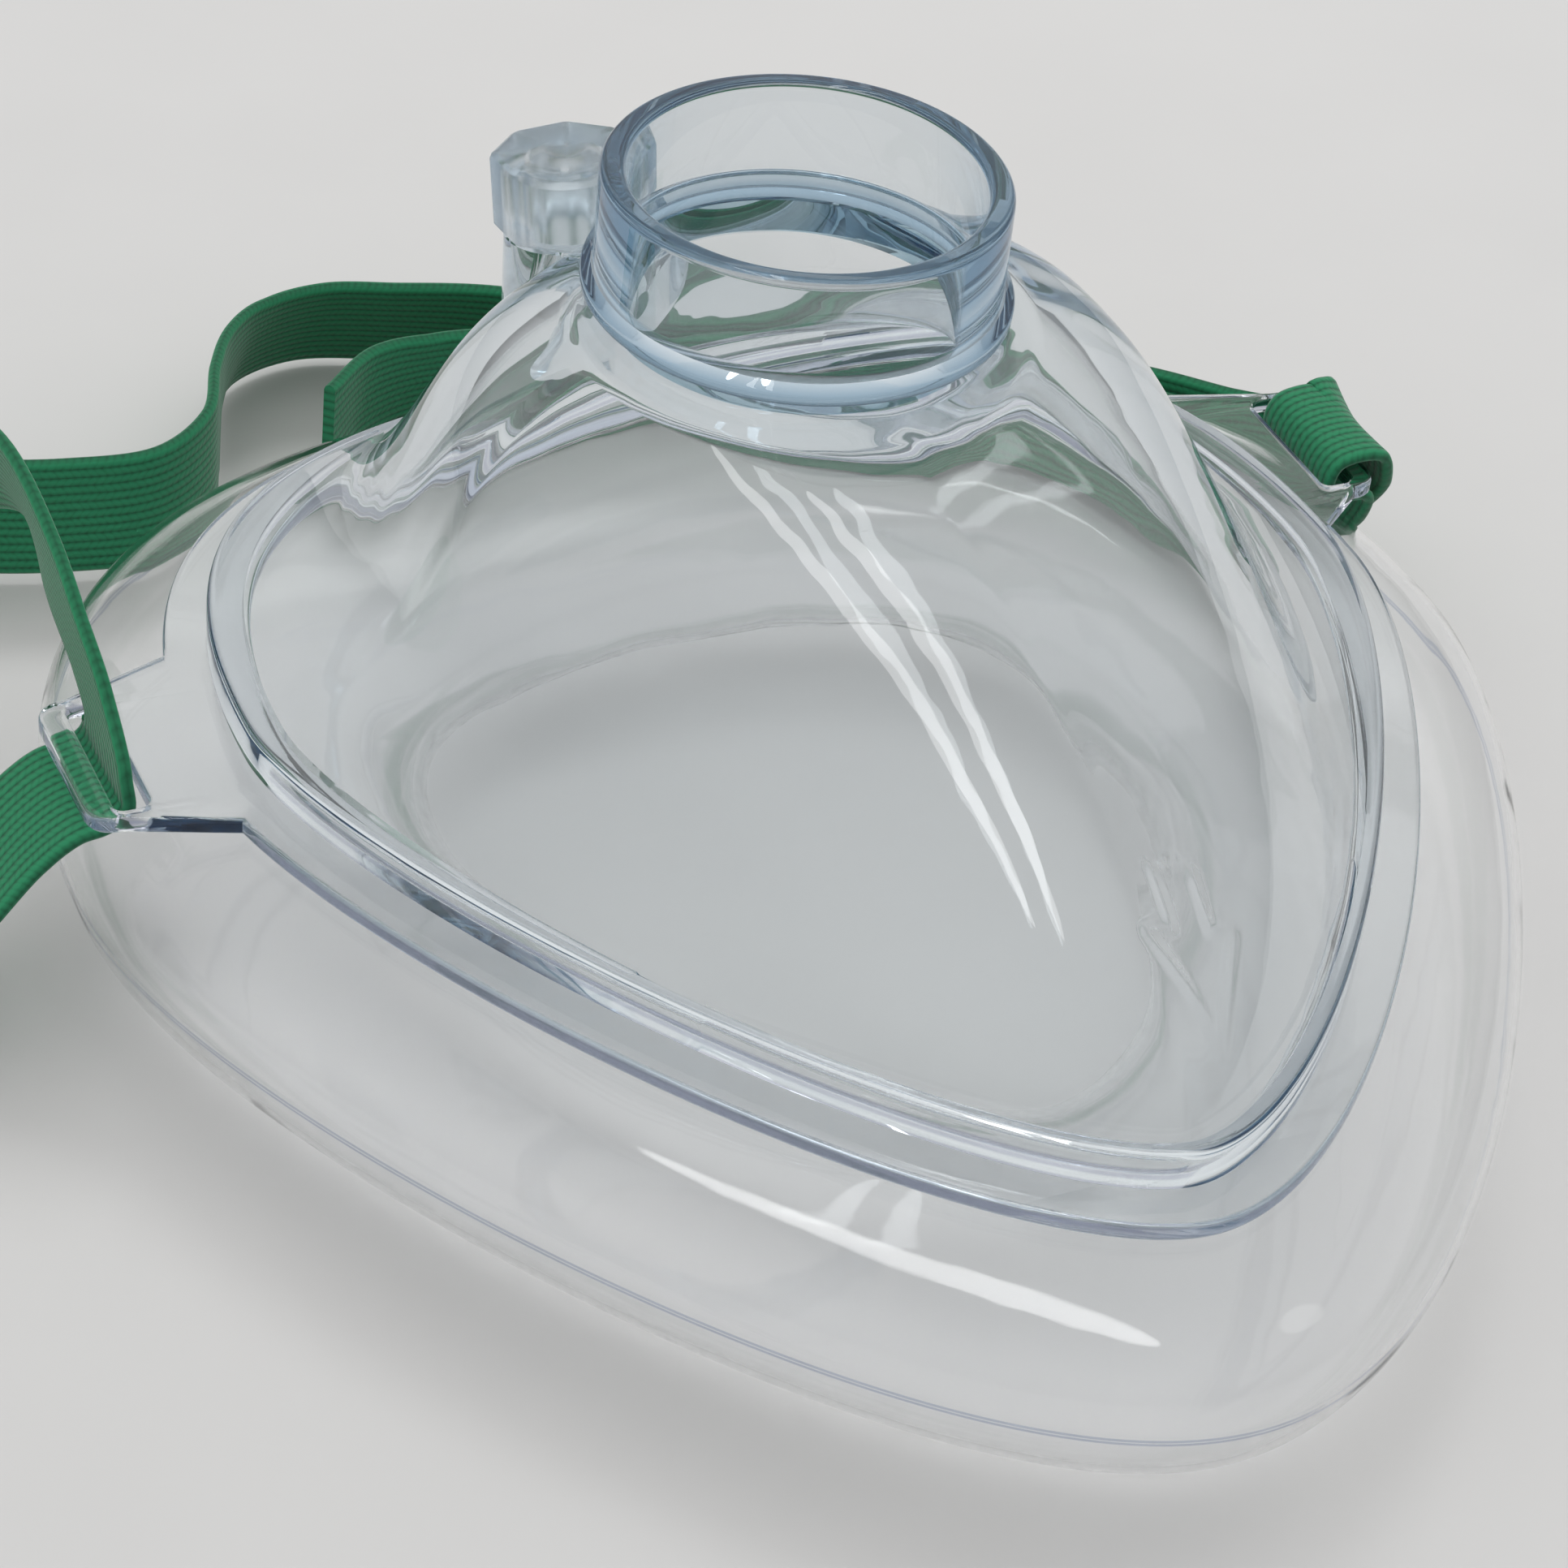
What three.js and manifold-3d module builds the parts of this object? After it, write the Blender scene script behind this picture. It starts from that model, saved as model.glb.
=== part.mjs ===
// Clear resuscitation face mask: domed shell with a 22 mm port, flat rim frame with two strap
// tabs, air cushion, oxygen inlet with its octagonal cap, and an elastic head strap.
// Millimetres, +Z up, nose towards -Y, chin towards +Y. Origin: centre of the mask's footprint,
// on the surface that it lies on.
import * as THREE from 'three';
import { ParametricGeometry } from 'three/addons/geometries/ParametricGeometry.js';
import { mergeVertices } from 'three/addons/utils/BufferGeometryUtils.js';
import Module from 'manifold-3d';

const wasm = await Module();
wasm.setup();

// ---- driving dimensions -------------------------------------------------------------------
// Outline of the rim: half of it is two cubic arcs, nose to cheek and cheek to chin.
const RIM = {
  noseY: -44.5, chinY: 44.5, cheekX: 40.5, cheekY: 11,
  noseReach: 14, cheekFront: 15.5, cheekBack: 34.5, chinReach: 12,
};
// Outline of the hole in the cushion that the nose and mouth go into.
const OPENING = {
  noseY: -24, chinY: 31, cheekX: 24, cheekY: 8,
  noseReach: 9, cheekFront: 14, cheekBack: 18, chinReach: 10,
};
const ARC_STEPS = 18;

// Free gap between neighbouring pieces, and how far a cut runs past an open face.
const GAP = 0.3;
const CUT_PAST = 0.001;
const CUSHION_TOP = 14.6;
const FRAME_BOTTOM = 14.8;
const FRAME_TOP = 16.0;
const FRAME_INSET = 5.8;

const SHELL_WALL = 1.5;
const SHELL_INSET = 2.7;
const LEDGE_TOP = 18.8;
const LEDGE_WIDTH = 1.0;
const LEDGE_CORNER = 0.5;

const PORT = {
  y: 17.9, outer: 12.75, bore: 11.15, collar: 13.5,
  base: 39.1, top: 47.3, collarHeight: 0.9, neckDepth: 2.4, edge: 0.35,
};

// The inlet's heights are below the top of its cap; nippleDrop is the free room over the nipple.
const INLET = {
  x: -7.9, y: 36.8, top: 39.7, tiltDeg: 9, bore: 1.3, nipple: 2.4, nippleDrop: 0.6,
  bossTop: 4.3, bossFoot: 5.0, bossTaper: 4, skirt: 1, depth: 20,
};
const CAP = {
  height: 5.2, acrossCorners: 9.9, socket: 2.75, socketDepth: 4.0, dimple: 1.2, dimpleLift: 0.72, chamfer: 0.5,
};

// The tabs are pulled out of line by the strap, so the right one sits nearer the chin.
const TAB = { reach: 12.4, tipHalf: 6.2, rootHalf: 9.6, corner: 2 };
const LEFT_TAB = { side: -1, tipX: 48.4, y: 14.2 };
const RIGHT_TAB = { side: 1, tipX: 46.4, y: 23.6 };
const SLOT = { inset: 2.9, width: 2.2, length: 10.8 };
const STRAP = { width: 9.4, thickness: 0.85, samples: 5 };

// ---- outlines -----------------------------------------------------------------------------
function outline(o) {
  const path = new THREE.Path();
  path.moveTo(0, o.noseY);
  path.bezierCurveTo(o.noseReach, o.noseY, o.cheekX, o.cheekY - o.cheekFront, o.cheekX, o.cheekY);
  path.bezierCurveTo(o.cheekX, o.cheekY + o.cheekBack, o.chinReach, o.chinY, 0, o.chinY);
  path.bezierCurveTo(-o.chinReach, o.chinY, -o.cheekX, o.cheekY + o.cheekBack, -o.cheekX, o.cheekY);
  path.bezierCurveTo(-o.cheekX, o.cheekY - o.cheekFront, -o.noseReach, o.noseY, 0, o.noseY);
  return path.getPoints(ARC_STEPS).slice(0, -1);
}

const rim = outline(RIM);
const opening = outline(OPENING);
const AROUND = rim.length;

// Outward normals of the rim, in plan.
const rimNormal = rim.map((point, i) => {
  const before = rim[(i + AROUND - 1) % AROUND];
  const after = rim[(i + 1) % AROUND];
  return new THREE.Vector2(after.y - before.y, before.x - after.x).normalize();
});

function rimPoint(i, outward) {
  return rim[i % AROUND].clone().addScaledVector(rimNormal[i % AROUND], outward);
}

// ---- solids -------------------------------------------------------------------------------
// Welds a geometry's vertices by position and drops the flat triangles of a collapsed ring.
function weld(geometry) {
  const bare = geometry.clone();
  bare.deleteAttribute('normal');
  bare.deleteAttribute('uv');
  const welded = mergeVertices(bare, 1e-4);
  const index = welded.index.array;
  const kept = [];
  for (let i = 0; i < index.length; i += 3) {
    const [a, b, c] = [index[i], index[i + 1], index[i + 2]];
    if (a !== b && b !== c && c !== a) kept.push(a, b, c);
  }
  welded.setIndex(kept);
  return welded;
}

function toSolid(geometry) {
  const welded = weld(geometry);
  const solid = new wasm.Manifold(new wasm.Mesh({
    numProp: 3,
    vertProperties: new Float32Array(welded.attributes.position.array),
    triVerts: new Uint32Array(welded.index.array),
  }));
  return solid;
}

function toGeometry(solid) {
  const mesh = solid.getMesh();
  const geometry = new THREE.BufferGeometry();
  const positions = new Float32Array(mesh.vertProperties);
  geometry.setAttribute('position', new THREE.BufferAttribute(positions, 3));
  geometry.setIndex(new THREE.BufferAttribute(new Uint32Array(mesh.triVerts), 1));
  return geometry;
}

// A surface through rings of points. pointAt(i, j) is point i of ring j; both ways close up
// unless open is true, when the first and the last ring are single points.
function loft(pointAt, around, rings, open = false) {
  const surface = (u, v, target) => {
    const i = Math.round(u * around) % around;
    const j = Math.round(v * rings);
    target.copy(pointAt(i, open ? j : j % rings));
  };
  return weld(new ParametricGeometry(surface, around, rings));
}

// Extrudes a plan shape from one height to another.
function plate(shape, bottom, top, curveSegments = 12) {
  const depth = top - bottom;
  const geometry = new THREE.ExtrudeGeometry(shape, { depth, bevelEnabled: false, curveSegments });
  return geometry.translate(0, 0, bottom);
}

// A round part about its own Z axis from a closed list of [radius, height] corners.
function turned(profile, segments) {
  const points = profile.concat([profile[0]]).map(([radius, height]) => new THREE.Vector2(radius, height));
  return new THREE.LatheGeometry(points, segments).rotateX(Math.PI / 2);
}

// ---- domed shell --------------------------------------------------------------------------
// Shape of the wall from the ledge (0, 0) to the port (1, 1), as the two inner control points of
// a cubic arc of inward travel and height: at the cheeks, at the nose and at the chin.
const SIDE_WALL = [0.6, 0.05, 0.4, 0.93];
const NOSE_WALL = [0.04, 0.34, 0.34, 0.88];
const CHIN_WALL = [0.4, 0.46, 0.9, 0.62];

function wallCurve(noseward, chinward) {
  const [ax, ay, bx, by] = SIDE_WALL.map(
    (side, n) => side + (NOSE_WALL[n] - side) * noseward + (CHIN_WALL[n] - side) * chinward);
  return new THREE.CubicBezierCurve(
    new THREE.Vector2(0, 0), new THREE.Vector2(ax, ay), new THREE.Vector2(bx, by), new THREE.Vector2(1, 1));
}

// A point of the dome: i around the rim, t from the ledge (0) to the port (1). foot is the
// wall's inset from the rim, drop lowers the whole wall and radius is the wall's radius at the port.
function domePoint(i, t, foot, drop, radius) {
  const start = rimPoint(i, -foot);
  const heading = Math.atan2(start.y - PORT.y, start.x);
  const noseward = Math.max(0, -Math.sin(heading)) ** 2;
  const chinward = Math.max(0, Math.sin(heading)) ** 2;
  const { x: inward, y: height } = wallCurve(noseward, chinward).getPoint(t);
  const endX = radius * Math.cos(heading);
  const endY = PORT.y + radius * Math.sin(heading);
  return new THREE.Vector3(
    start.x + (endX - start.x) * inward,
    start.y + (endY - start.y) * inward,
    LEDGE_TOP + (PORT.base - GAP - LEDGE_TOP) * height - drop);
}

const WALL_STEPS = 9;
const WALL_FOOT = SHELL_INSET + LEDGE_WIDTH;

// Closed section of the shell at rim point i: foot, ledge, outer wall, neck, inner wall.
function shellSection(i) {
  const foot = FRAME_TOP + GAP;
  const neckFloor = PORT.base - GAP - PORT.neckDepth;
  const level = (inset, z) => new THREE.Vector3(rimPoint(i, -inset).x, rimPoint(i, -inset).y, z);
  const section = [
    level(WALL_FOOT + SHELL_WALL, foot), level(SHELL_INSET, foot),
    level(SHELL_INSET, LEDGE_TOP - LEDGE_CORNER), level(SHELL_INSET + LEDGE_CORNER, LEDGE_TOP),
  ];
  for (let step = 0; step <= WALL_STEPS; step++) {
    section.push(domePoint(i, step / WALL_STEPS, WALL_FOOT, 0, PORT.collar));
  }
  const neck = domePoint(i, 1, WALL_FOOT, 0, PORT.bore);
  section.push(neck);
  for (let step = WALL_STEPS; step >= 0; step--) {
    const inner = domePoint(i, step / WALL_STEPS, WALL_FOOT + SHELL_WALL, SHELL_WALL, PORT.bore);
    inner.z = Math.min(inner.z, neckFloor);
    section.push(inner);
  }
  return section;
}

function shellGeometry() {
  const sections = rim.map((_, i) => shellSection(i));
  return loft((i, j) => sections[i][j], AROUND, sections[0].length);
}

// The dome filled in, grown by the joint gap: what the inlet's foot is cut to.
function filledDome() {
  const rings = WALL_STEPS + 2;
  const pointAt = (i, j) => {
    if (j === 0) return new THREE.Vector3(0, PORT.y, LEDGE_TOP - 12);
    if (j === rings) return new THREE.Vector3(0, PORT.y, PORT.base);
    return domePoint(i, (j - 1) / WALL_STEPS, WALL_FOOT - GAP, -GAP, PORT.collar + GAP);
  };
  return toSolid(loft(pointAt, AROUND, rings, true));
}

// ---- rim frame ----------------------------------------------------------------------------
function shapeFrom(points) {
  return new THREE.Shape(points.map((point) => point.clone()));
}

// A tab tapering outwards from the rim, with rounded outer corners.
function tabShape({ side, tipX, y }) {
  const front = y - TAB.tipHalf;
  const back = y + TAB.tipHalf;
  const shape = new THREE.Shape();
  shape.moveTo(side * (tipX - TAB.reach), y - TAB.rootHalf);
  shape.lineTo(side * (tipX - TAB.corner), front);
  shape.quadraticCurveTo(side * tipX, front, side * tipX, front + TAB.corner);
  shape.lineTo(side * tipX, back - TAB.corner);
  shape.quadraticCurveTo(side * tipX, back, side * (tipX - TAB.corner), back);
  shape.lineTo(side * (tipX - TAB.reach), y + TAB.rootHalf);
  shape.closePath();
  return shape;
}

function slotX({ side, tipX }) {
  return side * (tipX - SLOT.inset);
}

function frameGeometry() {
  const inside = shapeFrom(rim.map((_, i) => rimPoint(i, -FRAME_INSET)));
  let solid = toSolid(plate(shapeFrom(rim), FRAME_BOTTOM, FRAME_TOP));
  for (const tab of [LEFT_TAB, RIGHT_TAB]) {
    solid = solid.add(toSolid(plate(tabShape(tab), FRAME_BOTTOM, FRAME_TOP, 4)));
  }
  solid = solid.subtract(toSolid(plate(inside, FRAME_BOTTOM - 1, FRAME_TOP + 1)));
  for (const tab of [LEFT_TAB, RIGHT_TAB]) {
    const slot = new THREE.BoxGeometry(SLOT.width, SLOT.length, 4);
    slot.translate(slotX(tab), tab.y, FRAME_TOP);
    solid = solid.subtract(toSolid(slot));
  }
  return toGeometry(solid);
}

// ---- air cushion --------------------------------------------------------------------------
// Stations round the cushion's section: mm outwards of the rim, share of the way in from the rim
// to the opening, and height.
const CUSHION_STATIONS = [
  [-5.2, 0, CUSHION_TOP], [0, 0.5, 13.2], [0, 0.82, 10.6], [0, 1, 6.5], [0, 0.92, 2.2], [0, 0.55, -0.4],
  [0, 0.1, -0.4], [4.6, 0, 1.4], [7.7, 0, 6.4], [7.0, 0, 10.4], [3.2, 0, 13.4], [-0.9, 0, CUSHION_TOP],
];
const CUSHION_RINGS = 20;

function cushionGeometry() {
  const corners = CUSHION_STATIONS.map((station) => new THREE.Vector3(...station));
  const section = new THREE.CatmullRomCurve3(corners, true, 'catmullrom', 0.5);
  const stations = Array.from({ length: CUSHION_RINGS }, (_, j) => section.getPoint(j / CUSHION_RINGS));
  const pointAt = (i, j) => {
    const { x: outward, y: inward, z: height } = stations[j];
    const point = rimPoint(i, outward).lerp(opening[i], inward);
    return new THREE.Vector3(point.x, point.y, THREE.MathUtils.clamp(height, 0, CUSHION_TOP));
  };
  return loft(pointAt, AROUND, CUSHION_RINGS);
}

// ---- port ---------------------------------------------------------------------------------
function portGeometry() {
  const height = PORT.top - PORT.base;
  const { bore, outer, collar, collarHeight, edge } = PORT;
  return turned([
    [bore, 0], [collar, 0], [collar, collarHeight - edge], [outer, collarHeight + edge],
    [outer, height - edge], [outer - edge, height], [bore + edge, height], [bore, height - edge],
  ], 64).translate(0, PORT.y, PORT.base);
}

// ---- oxygen inlet and cap, made about their own Z axis, with the cap's top at zero ----------
const inletFrame = new THREE.Matrix4();
{
  // The inlet leans away from the port.
  const away = new THREE.Vector3(INLET.x, INLET.y - PORT.y, 0).normalize();
  const tiltAxis = new THREE.Vector3(0, 0, 1).cross(away);
  inletFrame.makeRotationAxis(tiltAxis, THREE.MathUtils.degToRad(INLET.tiltDeg));
  inletFrame.setPosition(INLET.x, INLET.y, INLET.top);
}

function inletGeometry() {
  const { bore, nipple, bossTop, bossFoot } = INLET;
  const shoulder = -CAP.height - GAP;
  const nippleTop = -CAP.height + CAP.socketDepth - INLET.nippleDrop;
  const body = turned([
    [bore, -INLET.depth], [bossFoot + INLET.skirt, -INLET.depth], [bossFoot, shoulder - INLET.bossTaper],
    [bossTop, shoulder], [nipple, shoulder], [nipple, nippleTop], [bore, nippleTop],
  ], 32).applyMatrix4(inletFrame);
  return toGeometry(toSolid(body).subtract(filledDome()));
}

function capGeometry() {
  const radius = CAP.acrossCorners / 2;
  const side = new THREE.CylinderGeometry(radius, radius, CAP.height - CAP.chamfer, 8);
  side.rotateX(Math.PI / 2).translate(0, 0, -(CAP.height + CAP.chamfer) / 2);
  const crown = new THREE.CylinderGeometry(radius - CAP.chamfer, radius, CAP.chamfer, 8);
  crown.rotateX(Math.PI / 2).translate(0, 0, -CAP.chamfer / 2);
  const socket = new THREE.CylinderGeometry(CAP.socket, CAP.socket, CAP.socketDepth, 24);
  socket.rotateX(Math.PI / 2).translate(0, 0, -CAP.height + CAP.socketDepth / 2 - CUT_PAST);
  const dimple = new THREE.SphereGeometry(CAP.dimple, 16, 8).translate(0, 0, CAP.dimpleLift);
  const solid = toSolid(side).add(toSolid(crown)).subtract(toSolid(socket)).subtract(toSolid(dimple));
  return toGeometry(solid).applyMatrix4(inletFrame);
}

// ---- head strap ---------------------------------------------------------------------------
// The strap's middle line from the free end at the left tab to the free end behind the chin, the
// direction of its width, and how far it is gathered (1 is flat). It goes up through the left slot
// and down through the right one.
const FLAT = [0, 1, 0];
const FLAT_BACK = [0, -1, 0];
const UPRIGHT = [0, 0, -1];
const LEFT_SLOT = slotX(LEFT_TAB);
const RIGHT_SLOT = slotX(RIGHT_TAB);
const STRAP_ROUTE = [
  { at: [-92, 3, 1.4], across: [0.2, 1, 0] },
  { at: [-78, 7.5, 1.6], across: [0.25, 1, 0] },
  { at: [-65, 11.2, 2.8], across: [0.2, 1, 0] },
  { at: [-56, 13.2, 7.2], across: [0.1, 1, 0] },
  { at: [-51, LEFT_TAB.y, 11.8], across: FLAT },
  { at: [-48.6, LEFT_TAB.y, 13.5], across: FLAT },
  { at: [-46.8, LEFT_TAB.y, 13.9], across: FLAT },
  { at: [LEFT_SLOT, LEFT_TAB.y, 14.9], across: FLAT },
  { at: [LEFT_SLOT, LEFT_TAB.y, 16.6], across: FLAT, gather: 0.9 },
  { at: [-45.6, 15.4, 19], across: [0, 1, -0.3], gather: 0.6 },
  { at: [-45.7, 19, 21.2], across: [0.05, 0.8, -0.6], gather: 0.6 },
  { at: [-45.7, 24.4, 23], across: [0.1, 0.5, -0.8], gather: 0.8 },
  { at: [-45.7, 31, 24.4], across: [0.3, 0.2, -1] },
  { at: [-46.4, 38, 22.6], across: [0.5, 0, -1] },
  { at: [-49.6, 45.4, 17.4], across: [0.5, 0, -1] },
  { at: [-56, 50.6, 11.2], across: [0.3, 0, -1] },
  { at: [-64, 54.2, 6.9], across: [0.05, 0, -1] },
  { at: [-72, 58, 5.4], across: UPRIGHT },
  { at: [-74, 64.6, 5.3], across: UPRIGHT },
  { at: [-67, 67.2, 5.3], across: UPRIGHT },
  { at: [-57, 63, 5.3], across: UPRIGHT },
  { at: [-49, 58.6, 5.3], across: UPRIGHT },
  { at: [-42.4, 56, 5.3], across: UPRIGHT },
  { at: [-36, 54.2, 5.3], across: UPRIGHT },
  { at: [-29.6, 53.8, 5.3], across: UPRIGHT },
  { at: [-24.8, 57.4, 5.3], across: UPRIGHT },
  { at: [-22.4, 62.8, 5.3], across: UPRIGHT },
  { at: [-20.2, 67.8, 5.2], across: [-0.1, 0.1, -1] },
  { at: [-16.8, 72.2, 5], across: [-0.2, 0.35, -1] },
  { at: [-11.6, 74, 4.8], across: [-0.1, 0.45, -1] },
  { at: [-5.6, 72.4, 4.8], across: [0, 0.45, -1] },
  { at: [1.2, 69, 5], across: [0.1, 0.3, -1] },
  { at: [8, 62.8, 5.2], across: [0, 0.1, -1] },
  { at: [14.6, 58.6, 5.3], across: UPRIGHT },
  { at: [22.4, 55, 5.3], across: UPRIGHT },
  { at: [34.8, 49, 5.3], across: UPRIGHT },
  { at: [42.8, 43.4, 5.3], across: UPRIGHT },
  { at: [47.8, 38.4, 5.4], across: UPRIGHT },
  { at: [50, 34, 6.6], across: [0, -0.2, -1] },
  { at: [50, 29.6, 9.6], across: [0, -0.6, -0.8] },
  { at: [49.4, 26.2, 12.9], across: [0, -0.85, -0.5] },
  { at: [48.4, 24.3, 15.4], across: [0, -1, -0.2] },
  { at: [47, RIGHT_TAB.y, 16.9], across: FLAT_BACK },
  { at: [45.2, RIGHT_TAB.y, 17], across: FLAT_BACK },
  { at: [44, RIGHT_TAB.y, 16.6], across: FLAT_BACK },
  { at: [RIGHT_SLOT, RIGHT_TAB.y, 15.5], across: FLAT_BACK },
  { at: [43.8, RIGHT_TAB.y, 14.3], across: FLAT_BACK },
  { at: [45.2, RIGHT_TAB.y, 13.8], across: FLAT_BACK },
  { at: [46.8, RIGHT_TAB.y, 13.4], across: FLAT_BACK, gather: 0.9 },
  { at: [47.8, 24.4, 11.5], across: [0, -1, -0.3], gather: 0.8 },
  { at: [47.9, 26.6, 8.9], across: [0, -0.75, -0.65], gather: 0.75 },
  { at: [47.6, 29.8, 6.9], across: [0, -0.35, -0.95], gather: 0.85 },
  { at: [46.8, 33.4, 5.8], across: UPRIGHT, gather: 0.95 },
  { at: [44.8, 37.2, 5.3], across: UPRIGHT },
  { at: [40.6, 41.6, 5.3], across: UPRIGHT },
  { at: [33.8, 46.8, 5.3], across: UPRIGHT },
  { at: [21.8, 52.6, 5.3], across: UPRIGHT },
  { at: [12.6, 56, 5.3], across: UPRIGHT },
  { at: [4.8, 59.4, 5.3], across: UPRIGHT },
  { at: [-0.8, 62.4, 5.2], across: [0, 0.2, -1] },
  { at: [-6, 64, 5.1], across: [0, 0.3, -1] },
  { at: [-11.2, 62.4, 5.2], across: [-0.1, 0.1, -1] },
  { at: [-15.6, 57.8, 5.3], across: UPRIGHT },
];

function curveOf(values) {
  return new THREE.CatmullRomCurve3(values.map((value) => new THREE.Vector3(...value)));
}

// A flat band swept along the route, with square corners and both ends closed.
function strapGeometry() {
  const middle = curveOf(STRAP_ROUTE.map(({ at }) => at));
  const width = curveOf(STRAP_ROUTE.map(({ across }) => across));
  const gathering = curveOf(STRAP_ROUTE.map(({ gather = 1 }) => [gather, 0, 0]));
  const steps = (STRAP_ROUTE.length - 1) * STRAP.samples;
  const corners = [[-1, -1], [1, -1], [1, 1], [-1, 1]];
  const pointAt = (i, j) => {
    const t = THREE.MathUtils.clamp((j - 1) / steps, 0, 1);
    const centre = middle.getPoint(t);
    if (j === 0 || j === steps + 2) return centre;
    const along = middle.getTangent(t);
    const across = width.getPoint(t);
    across.addScaledVector(along, -across.dot(along)).normalize();
    const through = new THREE.Vector3().crossVectors(along, across);
    const halfWidth = STRAP.width / 2 * gathering.getPoint(t).x;
    const [a, b] = corners[i];
    return centre.addScaledVector(across, a * halfWidth).addScaledVector(through, b * STRAP.thickness / 2);
  };
  return loft(pointAt, corners.length, steps + 2, true);
}

// ---- assembly -----------------------------------------------------------------------------
function seeThrough(color, roughness, opacity) {
  return new THREE.MeshStandardMaterial({ color, roughness, metalness: 0, transparent: true, opacity });
}

const clear = seeThrough(0xd5dde2, 0.08, 0.35);
const clearThick = seeThrough(0x9fb2c4, 0.06, 0.5);
const softClear = seeThrough(0xdfe3e8, 0.2, 0.3);
const greenElastic = new THREE.MeshStandardMaterial({ color: 0x1f7a4d, roughness: 0.9, metalness: 0 });

const mask = new THREE.Group();

function addPiece(name, geometry, material) {
  const mesh = new THREE.Mesh(geometry, material);
  mesh.name = name;
  mask.add(mesh);
  return mesh;
}

function shellWithInletHole() {
  const drill = new THREE.CylinderGeometry(INLET.bore + 0.2, INLET.bore + 0.2, 30, 24);
  drill.rotateX(Math.PI / 2).applyMatrix4(inletFrame);
  return toGeometry(toSolid(shellGeometry()).subtract(toSolid(drill)));
}

addPiece('dome_shell', shellWithInletHole(), clear);
addPiece('rim_frame', frameGeometry(), clear);
addPiece('air_cushion', cushionGeometry(), softClear);
addPiece('connector_ring', portGeometry(), clearThick);
addPiece('oxygen_inlet', inletGeometry(), clear);
addPiece('oxygen_cap', capGeometry(), clearThick);
addPiece('head_strap', strapGeometry(), greenElastic);

export default mask;
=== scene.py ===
"""Clear resuscitation face mask lying on a pale table: domed shell, slotted rim frame, air cushion,
22 mm port, capped oxygen inlet and a green elastic head strap. Metres; sizes below in millimetres
are scaled by MM when the meshes are made."""

import math

import bmesh
import bpy
import numpy as np
from mathutils import Matrix, Vector


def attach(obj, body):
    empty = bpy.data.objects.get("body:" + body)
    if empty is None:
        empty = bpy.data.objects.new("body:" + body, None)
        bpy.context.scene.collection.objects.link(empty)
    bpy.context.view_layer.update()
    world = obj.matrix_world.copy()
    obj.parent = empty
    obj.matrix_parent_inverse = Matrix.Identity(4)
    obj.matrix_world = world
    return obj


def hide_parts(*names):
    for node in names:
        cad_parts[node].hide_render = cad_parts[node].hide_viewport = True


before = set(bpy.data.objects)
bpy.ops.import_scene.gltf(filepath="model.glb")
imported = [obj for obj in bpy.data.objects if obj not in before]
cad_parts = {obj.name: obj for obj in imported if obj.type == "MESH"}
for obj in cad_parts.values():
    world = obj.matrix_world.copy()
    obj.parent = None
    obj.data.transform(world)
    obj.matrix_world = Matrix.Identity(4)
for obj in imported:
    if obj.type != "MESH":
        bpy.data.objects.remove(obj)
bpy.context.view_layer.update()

MM = 0.001

# ---- camera ---------------------------------------------------------------------------------
CAMERA_AZIMUTH = math.radians(-28.03)
CAMERA_ELEVATION = math.radians(37.52)
CAMERA_ROLL = math.radians(6.37)
CAMERA_TARGET = Vector((-10.17, -6.78, 20.98)) * MM
CAMERA_DISTANCE = 266.4 * MM
CAMERA_LENS = 102.5
CAMERA_SENSOR = 36.0


def make_camera():
    data = bpy.data.cameras.new("camera")
    data.sensor_width = CAMERA_SENSOR
    data.lens = CAMERA_LENS
    data.clip_start = 0.01
    camera = bpy.data.objects.new("camera", data)
    bpy.context.scene.collection.objects.link(camera)
    az, el = CAMERA_AZIMUTH, CAMERA_ELEVATION
    back = Vector((math.sin(az) * math.cos(el), -math.cos(az) * math.cos(el), math.sin(el)))
    right = Vector((math.cos(az), math.sin(az), 0))
    up = back.cross(right)
    rolled_right = right * math.cos(CAMERA_ROLL) + up * math.sin(CAMERA_ROLL)
    rolled_up = up * math.cos(CAMERA_ROLL) - right * math.sin(CAMERA_ROLL)
    turn = Matrix((rolled_right, rolled_up, back)).transposed()
    camera.matrix_world = Matrix.Translation(CAMERA_TARGET + back * CAMERA_DISTANCE) @ turn.to_4x4()
    bpy.context.scene.camera = camera


make_camera()

# ---- materials ------------------------------------------------------------------------------


def new_material(name):
    material = bpy.data.materials.new(name)
    material.use_nodes = True
    nodes = material.node_tree.nodes
    return material, nodes, material.node_tree.links, nodes["Principled BSDF"]


def noise(nodes, links, coordinates, scale, detail=2.0):
    texture = nodes.new("ShaderNodeTexNoise")
    texture.inputs["Scale"].default_value = scale
    texture.inputs["Detail"].default_value = detail
    links.new(coordinates, texture.inputs["Vector"])
    return texture.outputs["Fac"]


def maths(nodes, links):
    """A function that adds one maths node to a material and gives its output."""
    def add(operation, first, second=None):
        node = nodes.new("ShaderNodeMath")
        node.operation = operation
        for socket, value in zip(node.inputs, (first, second)):
            if value is None:
                continue
            if isinstance(value, (int, float)):
                socket.default_value = value
            else:
                links.new(value, socket)
        return node.outputs[0]

    return add


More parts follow.
